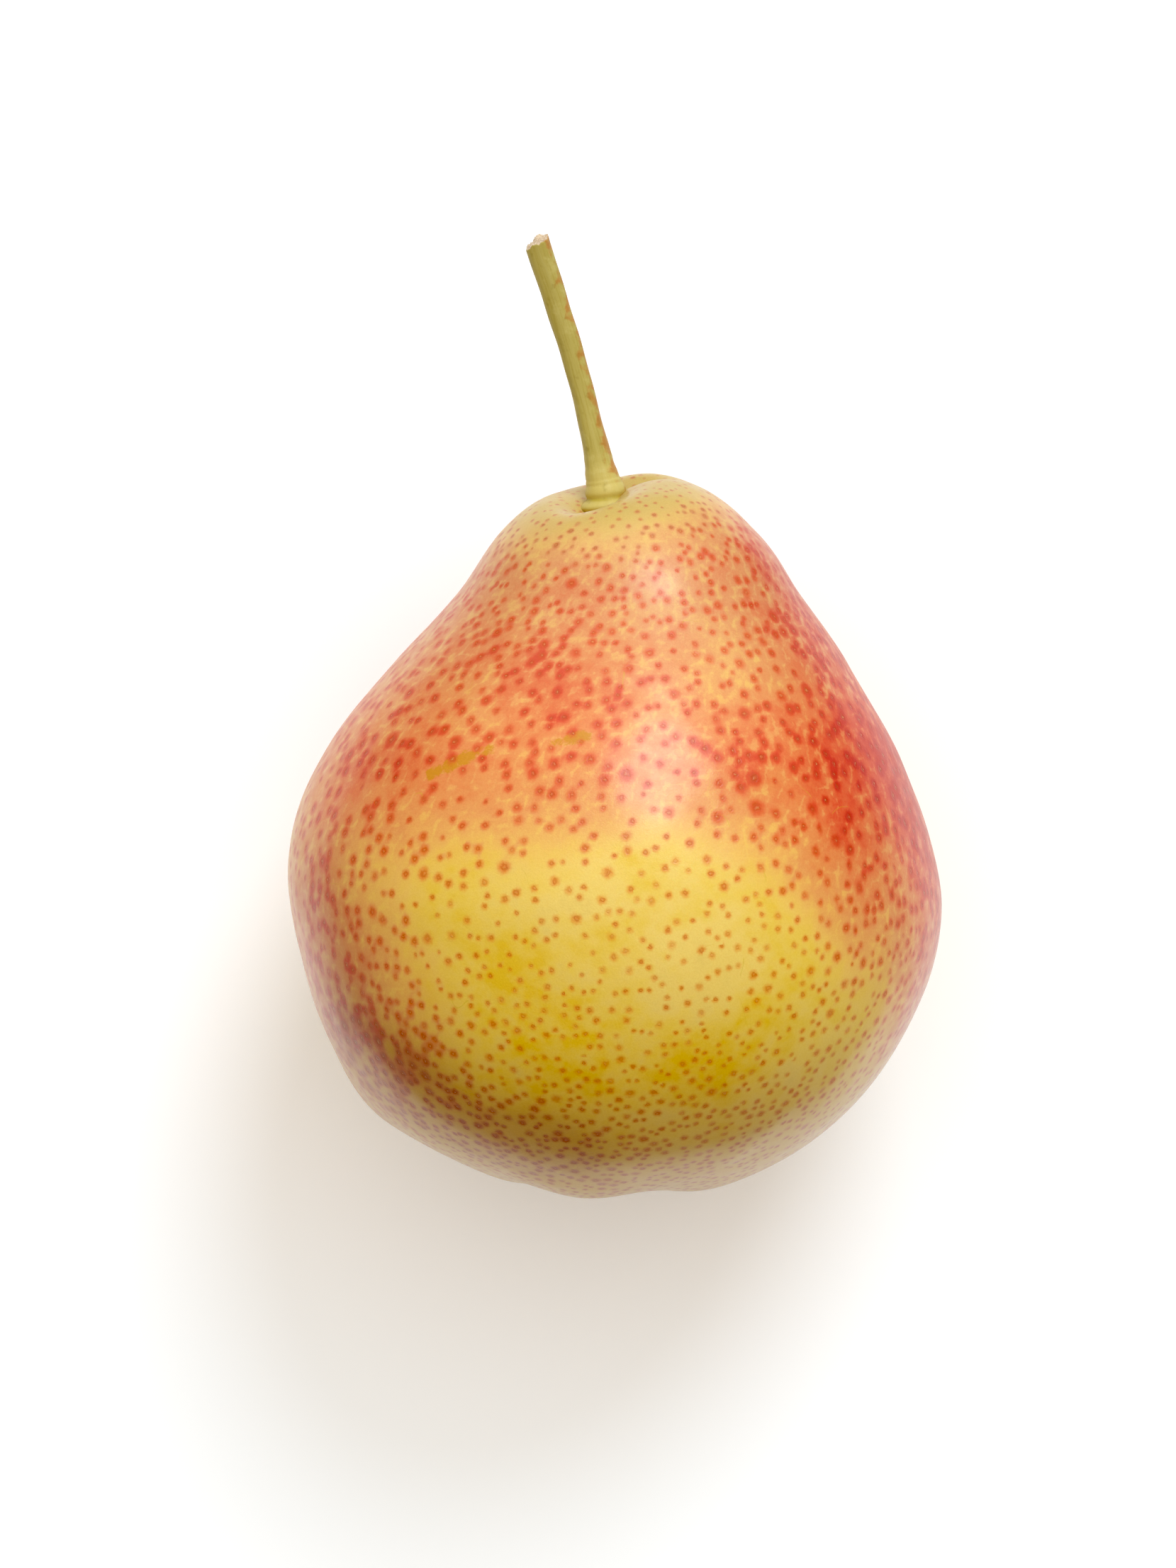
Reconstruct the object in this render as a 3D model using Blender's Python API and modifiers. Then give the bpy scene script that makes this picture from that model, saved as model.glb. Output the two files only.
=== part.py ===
"""A speckled dessert pear lying on its side, with its stem and its dried calyx.

The pear is modelled standing in its own frame: +Z runs from the calyx to the stem, +X is its right
side, and +Y is its back, the side it lies on. The centre of its round belly is the origin of that
frame. An empty named pear_frame then lays it down, so that in the world +Y runs towards the stem and
+Z is up, with the origin at the middle of the small flat spot that the fruit rests on.
"""

import math

import bmesh
import bpy
import numpy as np

MM = 0.001

# How the pear lies.
BELLY_RADIUS = 33.0 * MM
STEM_END_RISE = math.radians(6.0)
REST_CUT_DEPTH = 0.55 * MM
REST_AHEAD_OF_BELLY = 1.35 * MM

# The fruit's outline: its distance from the belly's centre, by latitude from the calyx to the stem.
OUTLINE_LATITUDE = np.radians([-90.0, -65.0, -40.0, 0.0, 25.0, 45.0, 60.0, 70.0, 80.0, 90.0])
OUTLINE_DISTANCE = np.array([32.2, 32.1, 33.0, 33.0, 32.0, 32.4, 34.6, 38.3, 41.1, 42.2]) * MM

# The neck leans to the right, and the belly is a little uneven.
NECK_LEAN = 1.85 * MM
NECK_LEAN_FROM = 15.0 * MM
NECK_LEAN_TO = 34.0 * MM
BELLY_SWAY = 0.45 * MM
BELLY_SWAY_SPAN = 16.0 * MM

# Soft swellings and hollows of the sides: longitude, latitude and spread in degrees, height in mm.
SWELLINGS = [
    (180.0, 20.0, 14.0, 0.35),
    (180.0, -22.0, 16.0, -0.55),
    (180.0, -43.0, 10.0, 0.75),
    (180.0, -60.0, 12.0, -0.45),
    (180.0, 76.0, 8.0, 0.3),
    (0.0, 5.0, 14.0, 0.3),
    (0.0, -20.0, 12.0, -0.25),
    (0.0, -57.0, 13.0, 0.4),
    (0.0, 68.0, 9.0, -0.35),
    (70.0, -35.0, 22.0, 0.4),
    (110.0, 35.0, 20.0, -0.35),
]

# The back is fuller towards the neck, which puts the rest spot under the centre of mass.
BACK_FULLNESS = 1.15 * MM
BACK_FULLNESS_HEIGHT = 9.0 * MM
BACK_FULLNESS_SPREAD = 12.0 * MM

# The calyx basin with five soft ribs round it.
BASIN_DEPTH = 5.4 * MM
BASIN_SPREAD = 6.2 * MM
RIB_COUNT = 5
RIB_TURN = math.radians(-32.0)
RIB_HEIGHT = 0.35 * MM
RIB_RING = 12.0 * MM
RIB_SPREAD = 7.0 * MM

# The stem hollow on the crown, and the shoulder that stands up behind it.
HOLLOW_CENTRE = (-1.2 * MM, -1.8 * MM)
HOLLOW_DEPTH = 2.0 * MM
HOLLOW_SPREAD = 4.6 * MM
SHOULDER_CENTRE = (4.0 * MM, 3.5 * MM)
SHOULDER_HEIGHT = 0.3 * MM
SHOULDER_SPREAD = 4.5 * MM

# The stem: it leaves the hollow along the pear's axis, and bends left and forward.
STEM_FOOT = (-1.05 * MM, -1.8 * MM, 38.0 * MM)
STEM_RISE = 27.3 * MM
STEM_BEND_LEFT = 6.6 * MM
STEM_BEND_FORWARD = 3.4 * MM
STEM_RADIUS = 1.15 * MM
STEM_COLLAR_SWELL = 0.9 * MM
STEM_COLLAR_LENGTH = 0.18
STEM_TIP_FLARE = 0.15 * MM
STEM_BURIED = 0.12
STEM_END_SLANT = math.radians(14.0)

# The dried calyx, in the middle of the basin.
CUP_OUTER_RADIUS = 2.1 * MM
CUP_WALL = 0.55 * MM
CUP_RIM = -29.2 * MM
CUP_FLOOR = -26.8 * MM
SEPAL_COUNT = 5
SEPAL_LENGTH = 4.2 * MM
SEPAL_WIDTH = 2.3 * MM
SEPAL_THICKNESS = 0.4 * MM
SEPAL_FOOT = (2.65 * MM, -28.55 * MM)
SEPAL_LEAN = math.radians(28.0)
SEPAL_CURL = math.radians(62.0)
STAMEN_COUNT = 9
STAMEN_LENGTH = 2.9 * MM
STAMEN_RADIUS = 0.17 * MM
STAMEN_DISC_HEIGHT = 0.7 * MM

# Meshes keep this gap where two pieces meet.
GAP = 0.3 * MM
FRUIT_SEGMENTS = 64
FRUIT_RINGS = 44
POLE_CROWDING = 0.28

SKIN_COLOUR = (0.86, 0.50, 0.24, 1.0)
STEM_COLOUR = (0.47, 0.42, 0.12, 1.0)
DRY_COLOUR = (0.16, 0.09, 0.05, 1.0)


def clear_scene():
    for obj in list(bpy.data.objects):
        bpy.data.objects.remove(obj)


def make_material(name, colour, roughness):
    material = bpy.data.materials.new(name)
    material.use_nodes = True
    shader = material.node_tree.nodes["Principled BSDF"]
    shader.inputs["Base Color"].default_value = colour
    shader.inputs["Roughness"].default_value = roughness
    shader.inputs["Metallic"].default_value = 0.0
    return material


def smooth_step(value, low, high):
    """0 below low, 1 above high, and an S-shaped cubic between them."""
    t = np.clip((value - low) / (high - low), 0.0, 1.0)
    return t * t * (3.0 - 2.0 * t)


def bell(distance, spread):
    """A bell curve: 1 at distance 0, and 0.37 at distance spread."""
    return np.exp(-((distance / spread) ** 2))


def through_points(x, known_x, known_y):
    """A smooth curve through known points: cubic pieces whose slopes are the neighbours' mean slope."""
    slope = np.gradient(known_y, known_x)
    slope[0] = slope[-1] = 0.0
    piece = np.clip(np.searchsorted(known_x, x) - 1, 0, len(known_x) - 2)
    width = known_x[piece + 1] - known_x[piece]
    t = (x - known_x[piece]) / width
    value = known_y[piece] * (1 + 2 * t) * (1 - t) ** 2
    value += known_y[piece + 1] * t * t * (3 - 2 * t)
    value += slope[piece] * width * t * (1 - t) ** 2
    value += slope[piece + 1] * width * t * t * (t - 1)
    return value


def angle_between(longitude, latitude, centre_longitude, centre_latitude):
    """The angle at the globe's centre between each point and one centre, from the law of cosines."""
    cosine = np.sin(latitude) * math.sin(centre_latitude)
    cosine = cosine + np.cos(latitude) * math.cos(centre_latitude) * np.cos(longitude - centre_longitude)
    return np.arccos(np.clip(cosine, -1.0, 1.0))


def fruit_point(longitude, latitude):
    """The skin, in the pear's own frame: a globe whose radius follows the outline, then pushed about.

    The neck leans, the belly sways, the back fills out, the calyx end dents and ribs, and the crown
    has a hollow for the stem with a shoulder behind it.
    """
    distance = through_points(latitude, OUTLINE_LATITUDE, OUTLINE_DISTANCE)
    for degrees_round, degrees_up, spread, height in SWELLINGS:
        away = angle_between(longitude, latitude, math.radians(degrees_round), math.radians(degrees_up))
        distance = distance + height * MM * bell(away, math.radians(spread))
    x = distance * np.cos(latitude) * np.cos(longitude)
    y = distance * np.cos(latitude) * np.sin(longitude)
    z = distance * np.sin(latitude)
    from_axis = np.hypot(x, y)
    upper = smooth_step(latitude, 0.0, math.radians(60.0))
    lower = 1.0 - upper

    ribs = np.cos(RIB_COUNT * (longitude - RIB_TURN)) * bell(from_axis - RIB_RING, RIB_SPREAD)
    z = z + lower * (BASIN_DEPTH * bell(from_axis, BASIN_SPREAD) - RIB_HEIGHT * ribs)

    from_hollow = np.hypot(x + NECK_LEAN - HOLLOW_CENTRE[0], y - HOLLOW_CENTRE[1])
    from_shoulder = np.hypot(x + NECK_LEAN - SHOULDER_CENTRE[0], y - SHOULDER_CENTRE[1])
    z = z - upper * HOLLOW_DEPTH * bell(from_hollow, HOLLOW_SPREAD)
    z = z + upper * SHOULDER_HEIGHT * bell(from_shoulder, SHOULDER_SPREAD)

    sway = -np.sin(math.pi * z / BELLY_SWAY_SPAN) * bell(z, BELLY_SWAY_SPAN)
    x = x + NECK_LEAN * smooth_step(z, NECK_LEAN_FROM, NECK_LEAN_TO) + BELLY_SWAY * sway
    back = np.clip(np.sin(longitude), 0.0, 1.0) ** 2
    y = y + BACK_FULLNESS * back * bell(z - BACK_FULLNESS_HEIGHT, BACK_FULLNESS_SPREAD)
    return x, y, z


def stem_line(share):
    """The stem's centre line: share is 0 at its foot and 1 at its tip."""
    bent = np.clip(share, 0.0, None)
    x = STEM_FOOT[0] - STEM_BEND_LEFT * bent**1.45
    y = STEM_FOOT[1] - STEM_BEND_FORWARD * bent**1.8
    z = STEM_FOOT[2] + STEM_RISE * share
    return np.stack([x, y, z], axis=-1)


def stem_radius(share):
    """A swollen foot that narrows like a bell curve, and a slight flare towards the tip."""
    swell = STEM_COLLAR_SWELL * bell(share, STEM_COLLAR_LENGTH)
    return STEM_RADIUS + swell + STEM_TIP_FLARE * np.clip(share, 0.0, 1.0) ** 4


def link(obj, collection, parent=None):
    collection.objects.link(obj)
    obj.parent = parent
    return obj


def mesh_object(name, bm, collection, parent=None):
    """An object from a bmesh, with its faces turned outwards and smooth."""
    bmesh.ops.recalc_face_normals(bm, faces=bm.faces)
    mesh = bpy.data.meshes.new(name)
    bm.to_mesh(mesh)
    bm.free()
    mesh.shade_smooth()
    return link(bpy.data.objects.new(name, mesh), collection, parent)


def tube_object(name, points, radii, sides_setting, collection, parent=None):
    """A tube along points, made as a bevelled curve and turned into a closed mesh."""
    curve = bpy.data.curves.new(name, "CURVE")
    curve.dimensions = "3D"
    curve.bevel_depth = 1.0
    curve.bevel_resolution = sides_setting
    curve.use_fill_caps = True
    spline = curve.splines.new("POLY")
    spline.points.add(len(points) - 1)
    spline.points.foreach_set("co", np.column_stack([points, np.ones(len(points))]).ravel())
    spline.points.foreach_set("radius", np.asarray(radii, float))
    guide = link(bpy.data.objects.new(name + "_curve", curve), collection, parent)
    bpy.context.view_layer.update()
    evaluated = guide.evaluated_get(bpy.context.evaluated_depsgraph_get())
    mesh = bpy.data.meshes.new_from_object(evaluated)
    bpy.data.objects.remove(guide)
    bm = bmesh.new()
    bm.from_mesh(mesh)
    bmesh.ops.remove_doubles(bm, verts=bm.verts, dist=0.00001)
    bpy.data.meshes.remove(mesh)
    return mesh_object(name, bm, collection, parent)


def cut_with(obj, cutter, operation="DIFFERENCE"):
    """A Boolean modifier that cuts obj with cutter, or joins them."""
    cutter.hide_render = True
    cutter.display_type = "WIRE"
    modifier = obj.modifiers.new(cutter.name, "BOOLEAN")
    modifier.operation = operation
    modifier.solver = "EXACT"
    modifier.object = cutter


def make_fruit(collection, frame):
    """The flesh and skin: a globe whose rings crowd towards both ends, moved onto the pear's shape."""
    bm = bmesh.new()
    bmesh.ops.create_uvsphere(bm, u_segments=FRUIT_SEGMENTS, v_segments=FRUIT_RINGS, radius=1.0)
    globe = np.array([v.co for v in bm.verts])
    longitude = np.arctan2(globe[:, 1], globe[:, 0])
    latitude = np.arcsin(np.clip(globe[:, 2], -1.0, 1.0))
    latitude = latitude + POLE_CROWDING * np.sin(2.0 * latitude)
    moved = np.stack(fruit_point(longitude, latitude), axis=-1)
    for vertex, place in zip(bm.verts, moved):
        vertex.co = place
    return mesh_object("fruit", bm, collection, frame)


def make_stem(collection, frame):
    """The stem, with its lower end buried in the fruit and its tip cut off on a slant."""
    share = np.linspace(-STEM_BURIED, 1.06, 24)
    stem = tube_object("stem", stem_line(share), stem_radius(share), 6, collection, frame)
    tip = stem_line(np.array([0.96, 1.0]))
    along = (tip[1] - tip[0]) / np.linalg.norm(tip[1] - tip[0])
    slant = (along[0] + math.tan(STEM_END_SLANT), along[1], along[2])
    bm = bmesh.new()
    bm.from_mesh(stem.data)
    geometry = bm.verts[:] + bm.edges[:] + bm.faces[:]
    cut = bmesh.ops.bisect_plane(bm, geom=geometry, plane_co=tip[1], plane_no=slant, clear_outer=True)
    rim = [e for e in cut["geom_cut"] if isinstance(e, bmesh.types.BMEdge)]
    bmesh.ops.edgeloop_fill(bm, edges=rim)
    bmesh.ops.recalc_face_normals(bm, faces=bm.faces)
    bm.to_mesh(stem.data)
    bm.free()
    return stem


def make_stem_socket(cutters, frame):
    """The cutter for the hole that the stem stands in: the stem's own foot, one gap wider and deeper."""
    deeper = GAP / STEM_RISE
    share = np.linspace(-STEM_BURIED - deeper, 0.25, 12)
    radii = stem_radius(share) + GAP
    return tube_object("stem_socket_cutter", stem_line(share), radii, 6, cutters, frame)


def make_cylinder(name, radius, low, high, collection, frame):
    bm = bmesh.new()
    ends = {"radius1": radius, "radius2": radius, "depth": high - low}
    bmesh.ops.create_cone(bm, cap_ends=True, segments=32, **ends)
    bmesh.ops.translate(bm, verts=bm.verts, vec=(0.0, 0.0, (low + high) / 2))
    return mesh_object(name, bm, collection, frame)


def make_calyx_cup(collection, cutters, frame):
    """The dried rim of the flower: a small cup, open towards the calyx end."""
    cup = make_cylinder("calyx_cup", CUP_OUTER_RADIUS, CUP_RIM, CUP_FLOOR, collection, frame)
    inside = CUP_OUTER_RADIUS - CUP_WALL
    below_rim = CUP_RIM - 1.0 * MM
    hollow = make_cylinder("cup_cutter", inside, below_rim, CUP_FLOOR - CUP_WALL, cutters, frame)
    cut_with(cup, hollow)
    return cup


def make_stamens(collection, cutters, frame):
    """The tuft of dried stamens: a small disc in the cup, with filaments that splay out of it."""
    radius = CUP_OUTER_RADIUS - CUP_WALL - GAP
    top = CUP_FLOOR - CUP_WALL - GAP
    tuft = make_cylinder("stamens", radius, top - STAMEN_DISC_HEIGHT, top, collection, frame)
    for number in range(STAMEN_COUNT):
        turn = 2.4 * number
        foot = 0.3 * radius * (1 + number % 3)
        share = np.linspace(0.0, 1.0, 6)
        out = foot + (0.3 + 0.12 * (number % 3)) * STAMEN_LENGTH * share**2
        down = top - STAMEN_DISC_HEIGHT / 2 - STAMEN_LENGTH * share
        line = np.stack([out * math.cos(turn), out * math.sin(turn), down], axis=-1)
        radii = STAMEN_RADIUS * (1.0 - 0.3 * share)
        filament = tube_object(f"filament_{number + 1}", line, radii, 1, cutters, frame)
        cut_with(tuft, filament, "UNION")
    return tuft


def make_sepal(number, collection, frame):
    """One dried sepal: a pointed blade that leaves the cup's rim and curls outwards over the basin."""
    bm = bmesh.new()
    bmesh.ops.create_grid(bm, x_segments=4, y_segments=8, size=1.0)
    bend_radius = SEPAL_LENGTH / SEPAL_CURL
    for vertex in bm.verts:
        across = vertex.co.x
        along = (vertex.co.y + 1.0) / 2
        angle = SEPAL_LEAN + SEPAL_CURL * along
        vertex.co.x = SEPAL_FOOT[0] + bend_radius * (math.cos(SEPAL_LEAN) - math.cos(angle))
        vertex.co.y = across * SEPAL_WIDTH / 2 * (1.0 - 0.85 * along**1.5)
        vertex.co.z = SEPAL_FOOT[1] - bend_radius * (math.sin(angle) - math.sin(SEPAL_LEAN))
    sepal = mesh_object(f"sepal_{number}", bm, collection, frame)
    sepal.rotation_euler.z = 2 * math.pi * (number - 0.5) / SEPAL_COUNT
    wall = sepal.modifiers.new("thickness", "SOLIDIFY")
    wall.thickness = SEPAL_THICKNESS
    wall.offset = 0.0
    return sepal


def make_rest_cutter(cutters):
    """A slab whose top is the surface that the pear lies on: it cuts the fruit's small flat spot."""
    bm = bmesh.new()
    bmesh.ops.create_cube(bm, size=2 * BELLY_RADIUS)
    bmesh.ops.translate(bm, verts=bm.verts, vec=(0.0, 0.0, -BELLY_RADIUS))
    return mesh_object("rest_cutter", bm, cutters)


def lay_down(frame):
    """Turns the standing pear about X onto its back, and lowers it until the rest cut has its depth."""
    frame.rotation_euler.x = -(math.pi / 2 - STEM_END_RISE)
    longitude = np.linspace(0.0, math.pi, 181)[:, None]
    latitude = np.linspace(-0.6, 0.9, 301)[None, :]
    x, y, z = fruit_point(longitude, latitude + 0.0 * longitude)
    height = -y * math.cos(STEM_END_RISE) + z * math.sin(STEM_END_RISE)
    frame.location.y = -REST_AHEAD_OF_BELLY
    frame.location.z = -height.min() - REST_CUT_DEPTH


def main():
    clear_scene()
    collection = bpy.data.collections.new("pear")
    cutters = bpy.data.collections.new("cutters")
    bpy.context.scene.collection.children.link(collection)
    bpy.context.scene.collection.children.link(cutters)
    frame = link(bpy.data.objects.new("pear_frame", None), collection)
    lay_down(frame)

    fruit = make_fruit(collection, frame)
    stem = make_stem(collection, frame)
    cup = make_calyx_cup(collection, cutters, frame)
    stamens = make_stamens(collection, cutters, frame)
    sepals = [make_sepal(number + 1, collection, frame) for number in range(SEPAL_COUNT)]

    cut_with(fruit, make_rest_cutter(cutters))
    cut_with(fruit, make_stem_socket(cutters, frame))
    cup_hole = ("cup_socket_cutter", CUP_OUTER_RADIUS + GAP, CUP_RIM, CUP_FLOOR + GAP)
    cut_with(fruit, make_cylinder(*cup_hole, cutters, frame))

    fruit.data.materials.append(make_material("pear_skin", SKIN_COLOUR, 0.38))
    stem.data.materials.append(make_material("green_stem", STEM_COLOUR, 0.55))
    dry = make_material("dried_calyx", DRY_COLOUR, 0.85)
    for piece in [cup, stamens, *sepals]:
        piece.data.materials.append(dry)


main()
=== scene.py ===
# %% [markdown]
# # A speckled pear, lying on its side
#
# This lesson dresses a plain pear in its skin, stem and dried flower. The plain pear is a fixed frame:
# nine solids that say where everything is and how big it is. Each solid gets a finer surface of the
# same shape in the same place, worked out with numpy, and a material made of nodes.
#
# The frame comes first, because everything else is placed by it.

# %% Load the frame
from math import cos, pi, radians, sin, sqrt

import bpy
import numpy as np
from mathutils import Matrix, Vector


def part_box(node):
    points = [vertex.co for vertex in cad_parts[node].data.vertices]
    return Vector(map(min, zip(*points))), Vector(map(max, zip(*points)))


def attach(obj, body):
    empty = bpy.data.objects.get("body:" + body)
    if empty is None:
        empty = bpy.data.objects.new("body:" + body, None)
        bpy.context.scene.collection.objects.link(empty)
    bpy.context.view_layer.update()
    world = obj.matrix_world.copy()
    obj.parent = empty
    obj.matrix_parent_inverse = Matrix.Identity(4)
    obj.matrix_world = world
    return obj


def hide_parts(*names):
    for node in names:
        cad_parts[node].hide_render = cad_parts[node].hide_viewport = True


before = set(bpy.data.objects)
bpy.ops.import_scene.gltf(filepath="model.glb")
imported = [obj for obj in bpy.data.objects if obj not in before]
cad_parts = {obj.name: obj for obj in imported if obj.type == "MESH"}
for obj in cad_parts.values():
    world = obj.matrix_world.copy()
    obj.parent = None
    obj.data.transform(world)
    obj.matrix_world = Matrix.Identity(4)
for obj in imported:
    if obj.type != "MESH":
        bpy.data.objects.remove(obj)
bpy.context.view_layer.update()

MM = 0.001
print("frame:", sorted(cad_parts))

# %% [markdown]
# ## The pear's own directions
#
# A fruit is easiest to describe standing up: x to its right, y to its back, z from the flower end to
# the stem. It lies on its back, though, with the stem end a little raised. So every shape here is
# worked out standing, in millimetres from the middle of the belly, and then laid down by one turn
# about X and one move.

# %% Laying a standing point down
STEM_END_RISE = radians(6.0)
REST_AHEAD_OF_BELLY = 1.35
REST_CUT_DEPTH = 0.55


def turned(points):
    """Turns standing points about X by 90 degrees less the rise, so that the pear lies on its back."""
    x, y, z = np.moveaxis(np.asarray(points, float), -1, 0)
    rise, level = sin(STEM_END_RISE), cos(STEM_END_RISE)
    return np.stack([x, rise * y + level * z, rise * z - level * y], axis=-1)


def smooth_step(value, low, high):
    """0 below low, 1 above high, and the S-shaped cubic t*t*(3 - 2t) between them."""
    t = np.clip((value - low) / (high - low), 0.0, 1.0)
    return t * t * (3.0 - 2.0 * t)


def unit(vectors):
    """Each vector divided by its own length."""
    return vectors / np.linalg.norm(vectors, axis=-1, keepdims=True)


def bell(distance, spread):
    """A bell curve, exp(-(distance / spread) squared): 1 in the middle, 0.37 at one spread."""
    return np.exp(-((distance / spread) ** 2))


# %% [markdown]
# ## The shape of the fruit
#
# A pear is a globe that was pulled out at one end. In numbers: every direction from the belly's middle
# has a longitude and a latitude, and the skin's distance depends mostly on the latitude. Ten known
# distances with a smooth curve through them give the whole outline.
#
# Real fruit is never that even. The sides get wide, soft swellings and hollows, the neck leans, and the
# two ends are pushed in: a basin with five soft ribs where the flower was, and a hollow for the stem.

# %% The outline and its uneven sides
OUTLINE_LATITUDE = np.radians([-90.0, -65.0, -40.0, 0.0, 25.0, 45.0, 60.0, 70.0, 80.0, 90.0])
OUTLINE_DISTANCE = np.array([32.2, 32.1, 33.0, 33.0, 32.0, 32.4, 34.6, 38.3, 41.1, 42.2])

# Each swelling: longitude, latitude and spread in degrees, height in millimetres.
SWELLINGS = [
    (180, 20, 14, 0.35), (180, -22, 16, -0.55), (180, -43, 10, 0.75),
    (180, -60, 12, -0.45), (180, 76, 8, 0.3), (0, 5, 14, 0.3),
    (0, -20, 12, -0.25), (0, -57, 13, 0.4), (0, 68, 9, -0.35),
    (70, -35, 22, 0.4), (110, 35, 20, -0.35),
]


def through_points(x, known_x, known_y):
    """A smooth curve through known points: cubic pieces whose slopes are the neighbours' mean slope."""
    slope = np.gradient(known_y, known_x)
    slope[0] = slope[-1] = 0.0
    piece = np.clip(np.searchsorted(known_x, x) - 1, 0, len(known_x) - 2)
    width = known_x[piece + 1] - known_x[piece]
    t = (x - known_x[piece]) / width
    value = known_y[piece] * (1 + 2 * t) * (1 - t) ** 2
    value += known_y[piece + 1] * t * t * (3 - 2 * t)
    value += slope[piece] * width * t * (1 - t) ** 2
    value += slope[piece + 1] * width * t * t * (t - 1)
    return value


def patches(longitude, latitude, table):
    """Soft round patches on the globe: each adds its strength times a bell curve of the angle to it.

    The angle comes from the law of cosines. A table row is longitude, latitude and spread in degrees,
    and strength.
    """
    total = np.zeros(np.broadcast(longitude, latitude).shape)
    for degrees_round, degrees_up, spread, strength in table:
        round_, up = radians(degrees_round), radians(degrees_up)
        cosine = np.sin(latitude) * sin(up)
        cosine = cosine + np.cos(latitude) * cos(up) * np.cos(longitude - round_)
        angle = np.arccos(np.clip(cosine, -1.0, 1.0))
        total = total + strength * bell(angle, radians(spread))
    return total


# %% The whole surface as one formula
BASIN_DEPTH, BASIN_SPREAD = 5.4, 6.2
NECK_LEAN = 1.85
RIB_TURN = radians(-32.0)

# The hollow, the shoulder behind it, the dent and the groove. Each: how far right and back its middle
# is, its length and width, and how high it stands.
CROWN_PLACES = [
    (-1.2, -1.8, 4.6, 4.6, -2.0), (4.0, 3.5, 4.5, 4.5, 0.3),
    (-2.3, -4.8, 2.8, 2.8, -1.9), (2.0, 0.2, 3.6, 1.3, -1.0),
]


def pear_surface(longitude, latitude):
    """The standing pear's skin, in millimetres, for whole arrays of longitude and latitude.

    The distance from the belly's middle is the outline's curve plus the swellings. Then the basin
    lifts the flower end by a bell curve, with five cosine ribs round it. The crown sinks round the
    stem and rises behind it, with a dent before the stem's foot and a groove that runs to its right.
    The neck leans right by a smooth step, the belly sways by a sine, and the back fills out.
    """
    distance = through_points(latitude, OUTLINE_LATITUDE, OUTLINE_DISTANCE)
    distance = distance + patches(longitude, latitude, SWELLINGS)
    x = distance * np.cos(latitude) * np.cos(longitude)
    y = distance * np.cos(latitude) * np.sin(longitude)
    z = distance * np.sin(latitude)
    from_axis = np.hypot(x, y)
    upper = smooth_step(latitude, 0.0, radians(60.0))

    ribs = np.cos(5 * (longitude - RIB_TURN)) * bell(from_axis - 12.0, 7.0)
    z = z + (1.0 - upper) * (BASIN_DEPTH * bell(from_axis, BASIN_SPREAD) - 0.35 * ribs)
    for right, back, length, width, rise in CROWN_PLACES:
        away = np.hypot((x + NECK_LEAN - right) / length, (y - back) / width)
        z = z + upper * rise * bell(away, 1.0)

    sway = -np.sin(pi * z / 16.0) * bell(z, 16.0)
    x = x + NECK_LEAN * smooth_step(z, 15.0, 34.0) + 0.45 * sway
    behind = np.clip(np.sin(longitude), 0.0, 1.0) ** 2
    y = y + 1.15 * behind * bell(z - 9.0, 12.0)
    return np.stack([x, y, z], axis=-1)


# %% Where the belly's middle is
back_half = np.meshgrid(np.linspace(0.0, pi, 181), np.linspace(-0.6, 0.9, 301))
lowest = turned(pear_surface(*back_half))[..., 2].min()
BELLY_MIDDLE = np.array([0.0, -REST_AHEAD_OF_BELLY, -lowest - REST_CUT_DEPTH])


def laid_down(points):
    """Standing millimetres to metres in the frame: turned, then moved to the belly's place."""
    return (turned(points) + BELLY_MIDDLE) * MM


print("belly's middle in mm:", BELLY_MIDDLE.round(2))

# %% [markdown]
# ## Camera, floor and light
#
# The pear is looked at from straight above, as food on a table is, so the camera hangs over it and
# looks down. It is far away with a long lens, which keeps the outline true.
#
# The floor is white paper, painted a trace warmer near the pear, which warms its shadow the way light
# bounced off the fruit would, and a trace cooler away from it. The waxy skin mirrors it all along its
# edge, as a pale rim. A real sheet is small and lies on something darker, so for mirror rays this one
# is bright only near the pear.
#
# The light is a plain studio's: one big soft box beyond the stem end gives the broad highlight and the
# soft shadow, and a pale, slightly warm room fills the shadow in. The room is the world's background,
# brighter overhead than low down in front, so the underside of the belly falls into a gentle shade.
# Mirror rays find it dark, except beyond the stem end. A small black point deepens the darkest tones.

# %% The camera
CAMERA_FROM_BELLY = np.array([-0.00256, 0.01039, 0.52])
SEEN_HEIGHT = 0.1596


def add_object(name, data):
    """Makes an object of this data and links it into the scene."""
    made = bpy.data.objects.new(name, data)
    bpy.context.scene.collection.objects.link(made)
    return made


camera = add_object("camera", bpy.data.cameras.new("camera"))
bpy.context.scene.camera = camera
camera.data.lens = camera.data.sensor_width * CAMERA_FROM_BELLY[2] / SEEN_HEIGHT
camera.location = BELLY_MIDDLE * MM + CAMERA_FROM_BELLY
print("camera:", tuple(round(c, 4) for c in camera.location), "lens", round(camera.data.lens, 1), "mm")

# %% [markdown]
# ### A shorter way to write node trees
#
# A material is a formula, but Blender's calls for adding and linking nodes hide it. This small helper
# makes each node a function call that returns its output, so a material reads like arithmetic. Below,
# w is the helper of whichever node tree is being made.


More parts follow.
